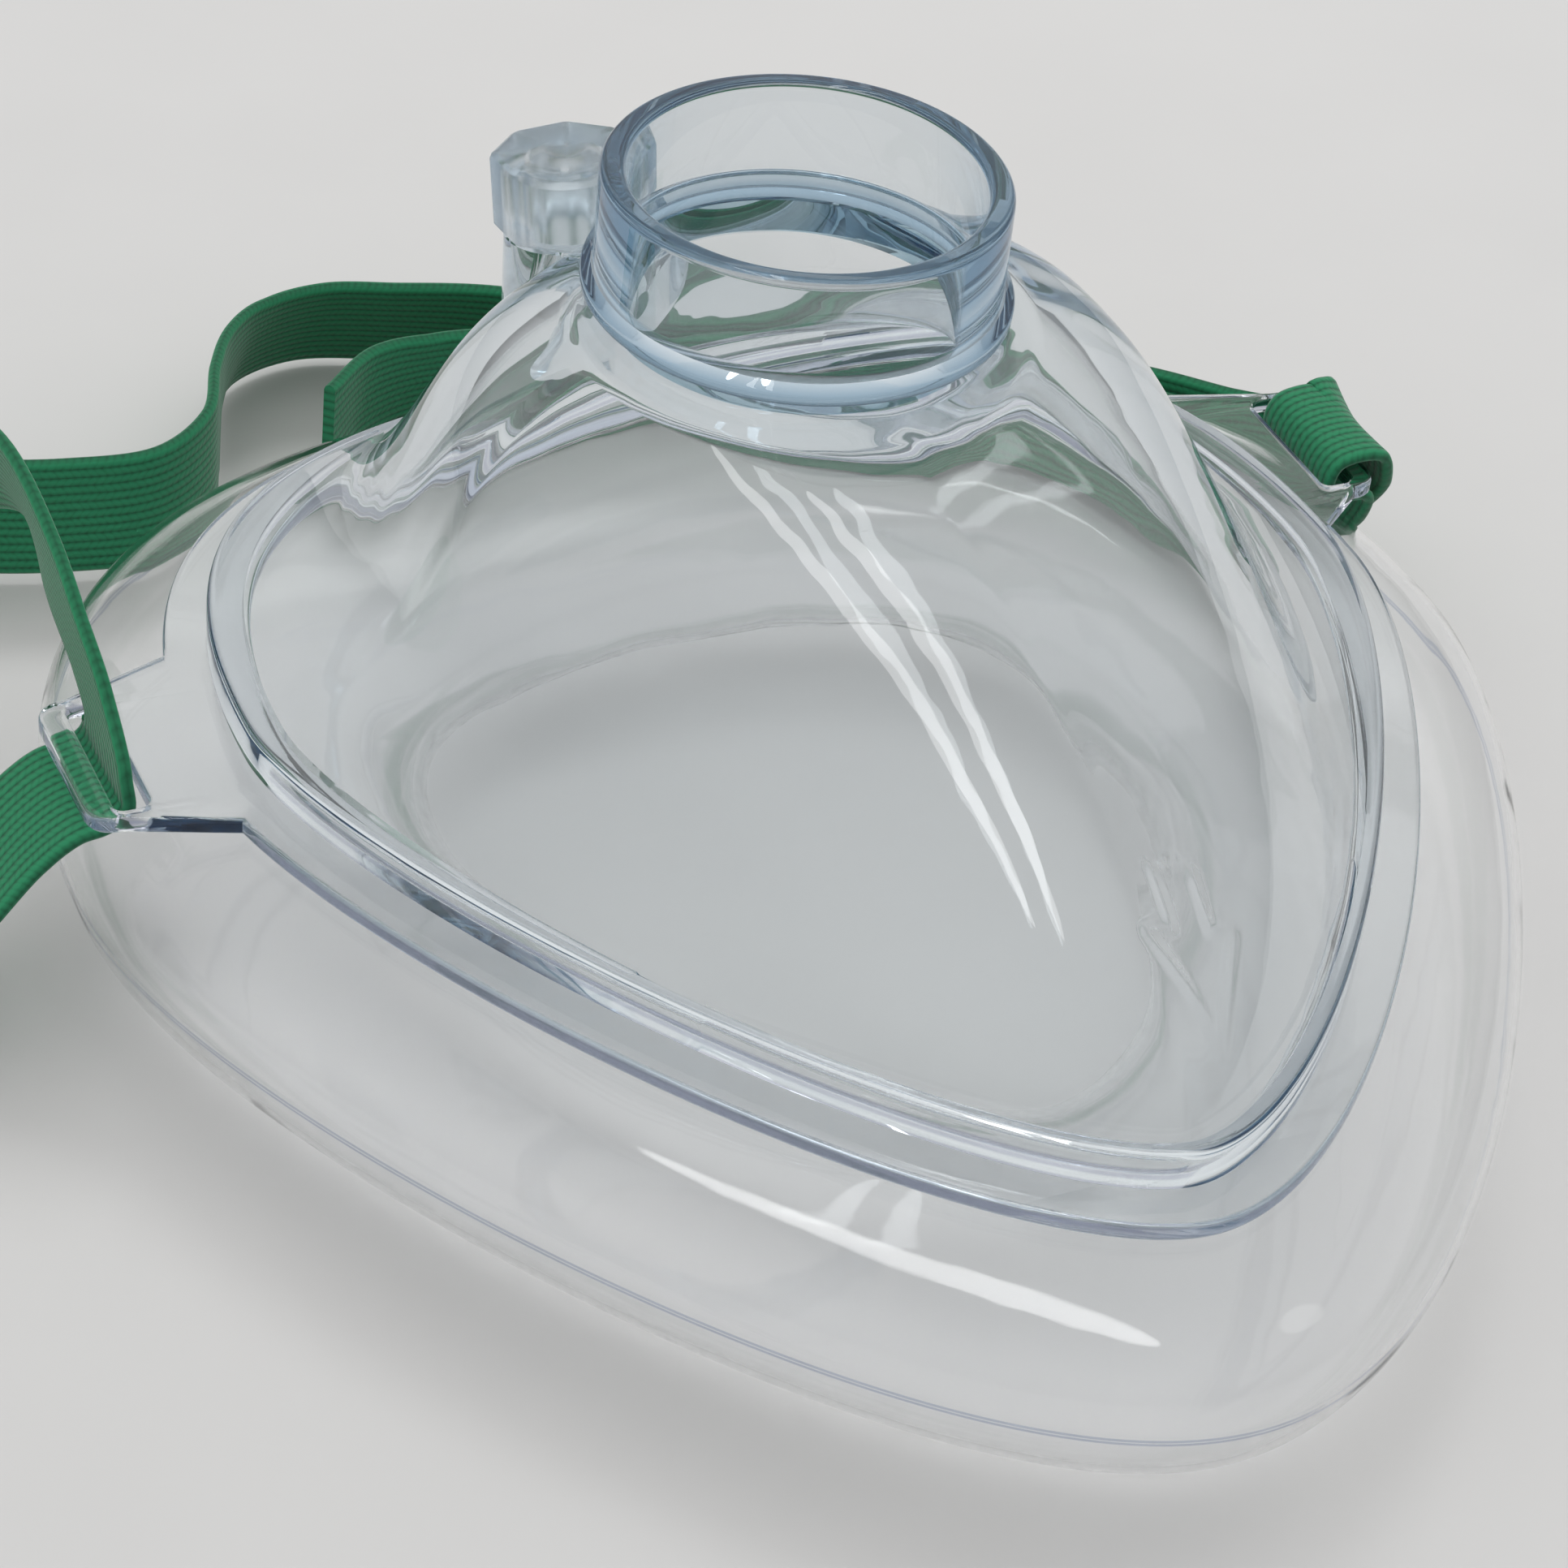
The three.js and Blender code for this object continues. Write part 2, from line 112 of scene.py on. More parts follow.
def clear_plastic(name, tint, roughness, ior, ripple_scale, ripple_height, lamp_share, depth_tint=None):
    """Moulded see-through plastic. Slow ripples of ripple_height metres bend what shows through.
    lamp_share is how much lamp light passes each surface; depth_tint is the colour and density that
    thick sections take on."""
    material, nodes, links, shader = new_material(name)
    place = nodes.new("ShaderNodeTexCoord").outputs["Object"]
    shader.inputs["Base Color"].default_value = (*tint, 1)
    shader.inputs["Roughness"].default_value = roughness
    shader.inputs["IOR"].default_value = ior
    shader.inputs["Transmission Weight"].default_value = 1.0
    bump = nodes.new("ShaderNodeBump")
    bump.inputs["Strength"].default_value = 1.0
    bump.inputs["Distance"].default_value = ripple_height
    links.new(noise(nodes, links, place, ripple_scale), bump.inputs["Height"])
    links.new(bump.outputs["Normal"], shader.inputs["Normal"])
    through = nodes.new("ShaderNodeBsdfTransparent")
    through.inputs["Color"].default_value = (lamp_share, lamp_share, lamp_share, 1)
    mix = nodes.new("ShaderNodeMixShader")
    links.new(nodes.new("ShaderNodeLightPath").outputs["Is Shadow Ray"], mix.inputs[0])
    links.new(shader.outputs[0], mix.inputs[1])
    links.new(through.outputs[0], mix.inputs[2])
    links.new(mix.outputs[0], nodes["Material Output"].inputs["Surface"])
    if depth_tint:
        absorb = nodes.new("ShaderNodeVolumeAbsorption")
        absorb.inputs["Color"].default_value = (*depth_tint[0], 1)
        absorb.inputs["Density"].default_value = depth_tint[1]
        links.new(absorb.outputs[0], nodes["Material Output"].inputs["Volume"])
    return material


def add_painted_shade_band(material, height, half_width, softness, color, wall=None, side="GREATER_THAN"):
    """A tinted band of painted shade round a see-through piece at one height in metres, fading out over
    softness.
    With wall, an upright elliptic wall given as its centre's y and its two half axes, it is kept to
    the part outside that wall, or inside it when side is LESS_THAN."""
    nodes, links = material.node_tree.nodes, material.node_tree.links
    m = maths(nodes, links)
    place = nodes.new("ShaderNodeTexCoord").outputs["Object"]
    split = nodes.new("ShaderNodeSeparateXYZ")
    links.new(place, split.inputs[0])
    away = m("ABSOLUTE", m("SUBTRACT", split.outputs[2], height))
    share = m("DIVIDE", m("SUBTRACT", half_width + softness, away), softness)
    share = m("MINIMUM", m("MAXIMUM", share, 0.0), 1.0)
    if wall:
        centre_y, half_x, half_y = wall
        x_part = m("POWER", m("ABSOLUTE", m("DIVIDE", split.outputs[0], half_x)), 2.0)
        from_centre = m("SUBTRACT", split.outputs[1], centre_y)
        y_part = m("POWER", m("ABSOLUTE", m("DIVIDE", from_centre, half_y)), 2.0)
        share = m("MULTIPLY", share, m(side, m("ADD", x_part, y_part), 1.0))
    mix = nodes.new("ShaderNodeMix")
    mix.data_type = "RGBA"
    links.new(share, mix.inputs[0])
    base = nodes["Principled BSDF"].inputs["Base Color"]
    if base.is_linked:
        links.new(base.links[0].from_socket, mix.inputs[6])
    else:
        mix.inputs[6].default_value = base.default_value
    mix.inputs[7].default_value = (*color, 1)
    links.new(mix.outputs[2], base)


STITCHES_PER_WIDTH, STITCH_SLANT, FUZZ_SCALE = 17.0, 0.8, 2600.0
RIB_SHARE, STITCH_SHARE, FUZZ_SHARE = 0.7, 0.2, 0.4
# The knit's colour runs from dark where it is low to light where it is high: painted shade in the creases,
# with random tone from the fuzz.
WEB_CREASE_SHADE, WEB_CREST = (0.006, 0.085, 0.038, 1), (0.02, 0.235, 0.105, 1)


def elastic_webbing(name, ribs):
    """Knitted green elastic: rubber ribs along the band and fine stitches between them. The UV map
    runs from 0 to 1 across the band and in band widths along it."""
    material, nodes, links, shader = new_material(name)
    uv = nodes.new("ShaderNodeTexCoord").outputs["UV"]
    split = nodes.new("ShaderNodeSeparateXYZ")
    links.new(uv, split.inputs[0])
    across, along = split.outputs[0], split.outputs[1]
    m = maths(nodes, links)
    rib = m("ABSOLUTE", m("SINE", m("MULTIPLY", across, math.pi * ribs)))
    rows = m("MULTIPLY", along, STITCHES_PER_WIDTH)
    zigzag = m("MULTIPLY", m("PINGPONG", m("MULTIPLY", across, ribs), 1.0), STITCH_SLANT)
    stitch = m("ABSOLUTE", m("SINE", m("MULTIPLY", m("ADD", rows, zigzag), math.pi)))
    fuzz = noise(nodes, links, nodes.new("ShaderNodeTexCoord").outputs["Object"], FUZZ_SCALE, 3.0)
    knit = m("ADD", m("MULTIPLY", rib, RIB_SHARE), m("MULTIPLY", stitch, STITCH_SHARE))
    height = m("ADD", knit, m("MULTIPLY", fuzz, FUZZ_SHARE))
    # Painted shade: the low creases of the knit are coloured darker than the crests.
    ramp = nodes.new("ShaderNodeValToRGB")
    ramp.color_ramp.elements[0].position = 0.25
    ramp.color_ramp.elements[0].color = WEB_CREASE_SHADE
    ramp.color_ramp.elements[1].position = 1.1
    ramp.color_ramp.elements[1].color = WEB_CREST
    links.new(height, ramp.inputs[0])
    links.new(ramp.outputs[0], shader.inputs["Base Color"])
    shader.inputs["Roughness"].default_value = 0.75
    shader.inputs["Sheen Weight"].default_value = 0.25
    shader.inputs["Sheen Roughness"].default_value = 0.4
    shader.inputs["Specular IOR Level"].default_value = 0.3
    bump = nodes.new("ShaderNodeBump")
    bump.inputs["Strength"].default_value = 0.8
    bump.inputs["Distance"].default_value = 0.00007
    links.new(height, bump.inputs["Height"])
    links.new(bump.outputs["Normal"], shader.inputs["Normal"])
    return material


PORT_TINT = (0.36, 0.55, 0.68)
SHELL_CLEAR = clear_plastic("shell_clear", tint=(0.975, 0.985, 0.985), roughness=0.012, ior=1.49,
                            ripple_scale=90.0, ripple_height=0.00008, lamp_share=0.86,
                            depth_tint=(PORT_TINT, 40.0))
PORT_CLEAR = clear_plastic("port_clear", tint=(0.98, 0.99, 0.993), roughness=0.01, ior=1.49,
                           ripple_scale=60.0, ripple_height=0.000002, lamp_share=0.75,
                           depth_tint=(PORT_TINT, 110.0))
CAP_CLEAR = clear_plastic("cap_clear", tint=(0.90, 0.93, 0.95), roughness=0.22, ior=1.45,
                          ripple_scale=60.0, ripple_height=0.000002, lamp_share=0.7,
                          depth_tint=(PORT_TINT, 60.0))
CUSHION_FILM = clear_plastic("cushion_film", tint=(0.99, 0.993, 0.996), roughness=0.03, ior=1.33,
                             ripple_scale=110.0, ripple_height=0.00007, lamp_share=0.87)
# Painted shade: darker lines that stand in for the shade clear plastic shows at its edges, on the neck
# inside the collar, the frame's edges, the dome's foot and the port's foot, and along the cushion's weld
# line, a real seam drawn only as painted shade.
add_painted_shade_band(SHELL_CLEAR, height=0.0377, half_width=0.0011, softness=0.0003, color=(0.22, 0.38, 0.48),
         wall=(0.0179, 0.0121, 0.0121), side="LESS_THAN")
add_painted_shade_band(SHELL_CLEAR, height=0.0154, half_width=0.0003, softness=0.00015, color=(0.50, 0.52, 0.64))
add_painted_shade_band(SHELL_CLEAR, height=0.0163, half_width=0.0001, softness=0.00015, color=(0.50, 0.50, 0.60))
add_painted_shade_band(PORT_CLEAR, height=0.0394, half_width=0.0006, softness=0.0005, color=(0.42, 0.55, 0.65))
add_painted_shade_band(CUSHION_FILM, height=0.0069, half_width=0.00008, softness=0.00005, color=(0.42, 0.48, 0.64),
         wall=(0.0, 0.036, 0.040))
STRAP_GREEN = elastic_webbing("strap_green", 14)

# ---- mesh helpers ---------------------------------------------------------------------------


def add_mesh(name, points, faces, material, body="mask", smooth_angle=40.0):
    """A mesh object from points in millimetres that rides on a body."""
    mesh = bpy.data.meshes.new(name)
    mesh.from_pydata([tuple(p) for p in np.asarray(points) * MM], [], faces)
    mesh.validate()
    bm = bmesh.new()
    bm.from_mesh(mesh)
    bmesh.ops.recalc_face_normals(bm, faces=bm.faces)
    bm.to_mesh(mesh)
    bm.free()
    mesh.polygons.foreach_set("use_smooth", [True] * len(mesh.polygons))
    mesh.set_sharp_from_angle(angle=math.radians(smooth_angle))
    mesh.materials.append(material)
    piece = bpy.data.objects.new(name, mesh)
    bpy.context.scene.collection.objects.link(piece)
    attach(piece, body)
    return piece


def ring_faces(around, rings, closed=True):
    """Quads between rings of points, each ring holding around points; closed joins last to first."""
    faces = []
    for j in range(rings if closed else rings - 1):
        for i in range(around):
            a, b = j * around + i, j * around + (i + 1) % around
            c, d = ((j + 1) % rings) * around + (i + 1) % around, ((j + 1) % rings) * around + i
            faces.append((a, b, c, d))
    return faces


def cubic(p0, p1, p2, p3, t):
    """Point or points of a cubic arc at t."""
    return (1 - t) ** 3 * p0 + 3 * (1 - t) ** 2 * t * p1 + 3 * (1 - t) * t * t * p2 + t ** 3 * p3


def knee(start, corner, end, t):
    """Point of a rounded corner at t."""
    return (1 - t) ** 2 * start + 2 * (1 - t) * t * corner + t * t * end


def corner_arc(centre, radius, start, end, steps=5):
    """Points of an arc in a section, angles in degrees."""
    angles = np.radians(np.linspace(start, end, steps))
    return [(centre[0] + radius * math.cos(a), centre[1] + radius * math.sin(a)) for a in angles]


# ---- outlines -------------------------------------------------------------------------------
# Nose y, chin y, cheek x, cheek y, nose reach, cheek front, cheek back and chin reach, as in the CAD.
RIM = (-44.5, 44.5, 40.5, 11.0, 14.0, 15.5, 34.5, 12.0)
OPENING = (-24.0, 31.0, 24.0, 8.0, 9.0, 14.0, 18.0, 10.0)


def outline(shape, steps):
    """Closed plan outline, nose to cheek to chin and back, steps points to each quarter."""
    nose_y, chin_y, cheek_x, cheek_y, nose, front, back, chin = shape
    t = np.linspace(0, 1, steps, endpoint=False)[:, None]
    tip = np.array([0, nose_y])
    end = np.array([0, chin_y])
    quarters = []
    for side, flip in ((1, False), (-1, True)):
        cheek = np.array([side * cheek_x, cheek_y])
        fore = [tip, tip + [side * nose, 0], cheek - [0, front], cheek]
        aft = [cheek, cheek + [0, back], end + [side * chin, 0], end]
        arcs = [aft[::-1], fore[::-1]] if flip else [fore, aft]
        quarters += [cubic(*arc, t) for arc in arcs]
    return np.vstack(quarters)


def normals_of(points):
    step = np.roll(points, -1, 0) - np.roll(points, 1, 0)
    normal = np.stack([step[:, 1], -step[:, 0]], 1)
    return normal / np.linalg.norm(normal, axis=1)[:, None]


# ---- domed shell ----------------------------------------------------------------------------
FRAME_BOTTOM, FRAME_TOP, FRAME_INSET = 14.8, 16.0, 5.8
SHELL_WALL, SHELL_INSET, LEDGE_TOP, LEDGE_WIDTH = 1.5, 2.7, 18.8, 1.0
FOOT_INSET, SHELL_FOOT = SHELL_INSET + LEDGE_WIDTH, FRAME_TOP + 0.08
LEDGE_CORNER, FOOT_CORNER = 0.6, 0.2
RIM_STEPS, OUTER_RINGS, INNER_RINGS = 120, 110, 60
PORT_Y, PORT_OUTER, PORT_BORE, PORT_COLLAR = 17.9, 12.75, 11.15, 13.5
PORT_BASE, PORT_TOP, NECK_TOP, NECK_DEPTH = 39.1, 47.3, 39.0, 2.4
SIDE_WALL = np.array([0.6, 0.05, 0.4, 0.93])
NOSE_WALL = np.array([0.04, 0.34, 0.34, 0.88])
CHIN_WALL = np.array([0.4, 0.46, 0.9, 0.62])


def dome_surface(rim, t, foot, drop, radius):
    """Rings of the dome's wall: t from the ledge (0) to the port (1)."""
    start = rim - foot * normals_of(rim)
    heading = np.arctan2(start[:, 1] - PORT_Y, start[:, 0])
    nose = np.maximum(0, -np.sin(heading)) ** 2
    chin = np.maximum(0, np.sin(heading)) ** 2
    controls = SIDE_WALL + nose[:, None] * (NOSE_WALL - SIDE_WALL) + chin[:, None] * (CHIN_WALL - SIDE_WALL)
    end = np.stack([radius * np.cos(heading), PORT_Y + radius * np.sin(heading)], 1)
    rings = []
    for value in t:
        inward = cubic(0, controls[:, 0], controls[:, 2], 1, value)[:, None]
        height = cubic(0, controls[:, 1], controls[:, 3], 1, value)
        flat = start + (end - start) * inward
        rings.append(np.column_stack([flat, LEDGE_TOP + (NECK_TOP - 0.2 - LEDGE_TOP) * height - drop]))
    return rings


ARROW_TIP_Y, ARROW_NECK, ARROW_TAIL = -38.2, 5.2, 8.0
ARROW_HEAD, ARROW_SHAFT = 3.0, 1.3
ARROW_X = 2.4
ARROW_RELIEF, ARROW_LINE = 0.11, 0.27


def arrow_relief(points):
    """Height of the raised outline arrow over points of the dome, seen from above."""
    corners = [(0, 0), (ARROW_HEAD, ARROW_NECK), (ARROW_SHAFT, ARROW_NECK), (ARROW_SHAFT, ARROW_TAIL),
               (-ARROW_SHAFT, ARROW_TAIL), (-ARROW_SHAFT, ARROW_NECK), (-ARROW_HEAD, ARROW_NECK)]
    corners = np.array(corners) + [ARROW_X, ARROW_TIP_Y]
    nearest = np.full(len(points), np.inf)
    for a, b in zip(corners, np.roll(corners, -1, 0)):
        along = np.clip(((points[:, :2] - a) @ (b - a)) / ((b - a) @ (b - a)), 0, 1)
        nearest = np.minimum(nearest, np.linalg.norm(points[:, :2] - a - along[:, None] * (b - a), axis=1))
    return ARROW_RELIEF * np.clip(1.5 - nearest / ARROW_LINE, 0, 1)


def make_dome():
    rim = outline(RIM, RIM_STEPS)
    normal = normals_of(rim)

    def level(inset, z):
        return np.column_stack([rim - inset * normal, np.full(len(rim), z)])

    inside = FOOT_INSET + SHELL_WALL
    rings = [level(inside, SHELL_FOOT), level(SHELL_INSET + FOOT_CORNER, SHELL_FOOT)]
    ledge = corner_arc((-SHELL_INSET - LEDGE_CORNER, LEDGE_TOP - LEDGE_CORNER), LEDGE_CORNER, 0, 90, 8)
    rings += [level(SHELL_INSET, SHELL_FOOT + FOOT_CORNER)] + [level(-r, z) for r, z in ledge]
    outer = dome_surface(rim, np.linspace(0, 1, OUTER_RINGS), FOOT_INSET, 0, PORT_COLLAR)
    for ring in outer:
        ring[:, 2] += arrow_relief(ring)
    rings += outer
    rings += dome_surface(rim, [1], FOOT_INSET, 0, PORT_BORE + 0.1)
    inner = dome_surface(rim, np.linspace(1, 0, INNER_RINGS), inside, SHELL_WALL, PORT_BORE)
    for ring in inner:
        ring[:, 2] = np.minimum(ring[:, 2], NECK_TOP - NECK_DEPTH)
    rings += inner
    points = np.vstack(rings)
    dome = add_mesh("domed_shell", points, ring_faces(len(rim), len(rings)), SHELL_CLEAR)
    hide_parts("dome_shell")


make_dome()

# ---- rim frame with its strap tabs ------------------------------------------------------------
TAB_TIP_HALF, TAB_ROOT_HALF, TAB_CORNER, TAB_CORNER_STEPS = 6.2, 8.4, 2.0, 8
# Each tab: its side, how far its tip reaches and its y.
TABS = ((-1, 48.4, 14.2), (1, 46.4, 23.6))
SLOT_INSET, SLOT_WIDTH, SLOT_LENGTH, SLOT_CORNER = 2.9, 2.2, 10.8, 0.7
FRAME_EDGE = 0.3


def rounded_loop(corners, radius, steps=6):
    """A closed loop of straight runs with its corners rounded."""
    corners = np.array(corners, float)
    points = []
    for before, corner, after in zip(np.roll(corners, 1, 0), corners, np.roll(corners, -1, 0)):
        back = (before - corner) / np.linalg.norm(before - corner)
        ahead = (after - corner) / np.linalg.norm(after - corner)
        for t in np.linspace(0, 1, steps):
            a, b = corner + back * radius, corner + ahead * radius
            points.append(knee(a, corner, b, t))
    return np.array(points)


def frame_outline():
    """The rim's outline with the two tabs let into it."""
    rim = outline(RIM, 90)
    for side, tip, y in TABS:
        front, back = y - TAB_ROOT_HALF, y + TAB_ROOT_HALF
        inside = (rim[:, 0] * side > 0) & (rim[:, 1] > front) & (rim[:, 1] < back)
        first = np.flatnonzero(inside)[0]
        kept_before, kept_after = rim[:first], rim[first:][~inside[first:]]
        near, far = y - TAB_TIP_HALF, y + TAB_TIP_HALF
        corners = np.array([[(tip - TAB_CORNER, near), (tip, near), (tip, near + TAB_CORNER)],
                            [(tip, far - TAB_CORNER), (tip, far), (tip - TAB_CORNER, far)]])
        round_tip = []
        for start, corner, end in corners:
            for t in np.linspace(0, 1, TAB_CORNER_STEPS):
                round_tip.append(knee(start, corner, end, t) * [side, 1])
        if side < 0:
            round_tip.reverse()
        rim = np.vstack([kept_before, round_tip, kept_after])
    return rim


def make_frame():
    data = bpy.data.curves.new("rim_outline", "CURVE")
    data.dimensions = "2D"
    data.fill_mode = "BOTH"
    data.extrude = (FRAME_TOP - FRAME_BOTTOM) / 2 * MM - FRAME_EDGE * MM
    data.bevel_depth = FRAME_EDGE * MM
    data.bevel_resolution = 3
    data.offset = -FRAME_EDGE * MM
    rim = outline(RIM, 90)
    loops = [frame_outline(), rim - FRAME_INSET * normals_of(rim)]
    for side, tip, y in TABS:
        x, half_width, half_length = side * (tip - SLOT_INSET), SLOT_WIDTH / 2, SLOT_LENGTH / 2
        left, right, near, far = x - half_width, x + half_width, y - half_length, y + half_length
        loops.append(rounded_loop([(left, near), (right, near), (right, far), (left, far)], SLOT_CORNER))
    for loop in loops:
        spline = data.splines.new("POLY")
        spline.points.add(len(loop) - 1)
        for point, (x, y) in zip(spline.points, loop):
            point.co = (x * MM, y * MM, 0, 1)
        spline.use_cyclic_u = True
    outline_object = bpy.data.objects.new("rim_outline", data)
    mesh = bpy.data.meshes.new_from_object(outline_object)
    bpy.data.objects.remove(outline_object)
    mesh.transform(Matrix.Translation((0, 0, (FRAME_TOP + FRAME_BOTTOM) / 2 * MM)))
    bm = bmesh.new()
    bm.from_mesh(mesh)
    bmesh.ops.remove_doubles(bm, verts=bm.verts, dist=1e-6)
    bmesh.ops.recalc_face_normals(bm, faces=bm.faces)
    bm.to_mesh(mesh)
    bm.free()
    mesh.polygons.foreach_set("use_smooth", [True] * len(mesh.polygons))
    mesh.set_sharp_from_angle(angle=math.radians(35))
    mesh.materials.clear()
    mesh.materials.append(SHELL_CLEAR)
    piece = bpy.data.objects.new("rim_and_tabs", mesh)
    bpy.context.scene.collection.objects.link(piece)
    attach(piece, "mask")
    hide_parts("rim_frame")


make_frame()

# ---- air cushion ----------------------------------------------------------------------------
CUSHION_TOP = 14.6
# The film's section: how far out from the rim, the share of the way in to the opening, the height.
CUSHION_STATIONS = np.array([
    (-5.2, 0, CUSHION_TOP), (0, 0.5, 13.2), (0, 0.82, 10.6), (0, 1, 6.5), (0, 0.92, 2.2), (0, 0.55, -0.4),
    (0, 0.1, -0.4), (4.6, 0, 1.4), (7.7, 0, 6.4), (7.0, 0, 10.4), (3.2, 0, 13.4), (-0.9, 0, CUSHION_TOP)])
FILM = 0.45


def smooth_loop(points, samples):
    """Uniform Catmull-Rom loop through points."""
    count = len(points)
    loop = []
    for s in np.arange(samples) / samples * count:
        i, t = int(s), s % 1
        p0, p1, p2, p3 = (points[(i + k) % count] for k in (-1, 0, 1, 2))
        loop.append(0.5 * (2 * p1 + (p2 - p0) * t + (2 * p0 - 5 * p1 + 4 * p2 - p3) * t ** 2
                           + (3 * p1 - p0 - 3 * p2 + p3) * t ** 3))
    return np.array(loop)


def make_cushion():
    rim, opening = outline(RIM, 90), outline(OPENING, 90)
    normal = normals_of(rim)
    rings = []
    for outward, inward, z in smooth_loop(CUSHION_STATIONS, 180):
        edge = rim + normal * outward
        flat = edge + (opening - edge) * inward
        rings.append(np.column_stack([flat, np.full(len(flat), min(max(z, 0), CUSHION_TOP))]))
    cushion = add_mesh("air_cushion_film", np.vstack(rings), ring_faces(len(rim), len(rings)), CUSHION_FILM)
    film = cushion.modifiers.new("film", "SOLIDIFY")
    film.thickness = FILM * MM
    film.offset = -1
    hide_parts("air_cushion")


make_cushion()

# ---- turned pieces --------------------------------------------------------------------------
# The corners between the flats are rounded off at this share of the full radius.
FLAT_CORNER = 0.985


def turned(name, profile, material, body="mask", place=Matrix(), segments=128, smooth_angle=30.0):
    """A closed profile of (radius, height, flats) turned about Z; flats is the number of flat sides."""
    angles = np.arange(segments) / segments * 2 * math.pi
    rings = []
    for radius, z, flats in profile:
        reach = np.full(segments, radius)
        if flats:
            half = math.pi / flats
            reach = radius * math.cos(half) / np.cos(np.mod(angles + half, 2 * half) - half)
            reach = np.minimum(reach, radius * FLAT_CORNER)
        level = np.full(segments, z)
        rings.append(np.column_stack([reach * np.cos(angles), reach * np.sin(angles), level]))
    points = np.vstack(rings) @ np.array(place.to_3x3()).T + np.array(place.translation)
    return add_mesh(name, points, ring_faces(segments, len(rings)), material, body, smooth_angle)


COLLAR_EDGE, COLLAR_TOP, PORT_LIP = 0.3, 1.0, 0.55


def port_profile():
    """The port's section: the bore's foot, the collar with its small fillet, and the rounded lip."""
    collar, edge = PORT_COLLAR - COLLAR_EDGE, PORT_LIP
    top = PORT_TOP - PORT_BASE - edge
    outer = [(PORT_BORE, 0.0)] + corner_arc((collar, COLLAR_EDGE), COLLAR_EDGE, -90, 0)
    outer += corner_arc((collar, COLLAR_TOP - COLLAR_EDGE), COLLAR_EDGE, 0, 70)
    outer += [(PORT_OUTER + 0.12, 1.4), (PORT_OUTER, 2.0)]
    lip = corner_arc((PORT_OUTER - edge, top), edge, 0, 90, 8)
    lip += corner_arc((PORT_BORE + edge, top), edge, 90, 180, 8)
    return [(r, z, 0) for r, z in outer + lip]


port = turned("port_ring", port_profile(), PORT_CLEAR, place=Matrix.Translation((0, PORT_Y, PORT_BASE)))
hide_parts("connector_ring")

INLET_X, INLET_Y, INLET_TOP, INLET_TILT = -7.9, 36.8, 39.7, math.radians(9)
CAP_HEIGHT, CAP_RADIUS, SOCKET_RADIUS, SOCKET_DEPTH = 5.2, 4.95, 2.75, 4.0
CAP_FLATS, CAP_EDGE, CAP_ROUND, AXIS_GAP = 8, 0.3, 0.45, 0.02
NIPPLE_RADIUS, INLET_BORE, BOSS_TOP, BOSS_FOOT = 2.4, 1.3, 4.3, 5.0
NIPPLE_EDGE, NIPPLE_CLEAR, BOSS_CLEAR, BOSS_FLARE, BOSS_LIP = 0.2, 0.6, 0.3, 0.35, 0.6
FOOT_SINK, FOOT_BLUR, FOOT_NEAREST = 0.25, 9, 6


def inlet_place():
    away = Vector((INLET_X, INLET_Y - PORT_Y, 0)).normalized()
    axis = Vector((0, 0, 1)).cross(away)
    return Matrix.Translation((INLET_X, INLET_Y, INLET_TOP)) @ Matrix.Rotation(INLET_TILT, 4, axis)


def make_inlet():
    place = inlet_place()
    foot, roof, edge, round_top = -CAP_HEIGHT, -CAP_HEIGHT + SOCKET_DEPTH, CAP_EDGE, CAP_ROUND
    side = [(CAP_RADIUS - edge, foot), (CAP_RADIUS, foot + edge), (CAP_RADIUS, -round_top),
            (CAP_RADIUS - 0.12, -0.18), (CAP_RADIUS - round_top, 0)]
    dimple = [(1.5, 0), (1.2, -0.15), (0.6, -0.5), (AXIS_GAP, -0.6)]
    socket = [(AXIS_GAP, roof), (SOCKET_RADIUS - edge, roof), (SOCKET_RADIUS, roof - edge)]
    cap = [(SOCKET_RADIUS, foot, 0)] + [(r, z, CAP_FLATS) for r, z in side]
    cap += [(r, z, 0) for r, z in dimple + socket]
    piece = turned("inlet_cap", cap, CAP_CLEAR, body="cap", place=place)
    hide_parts("oxygen_cap")


make_inlet()


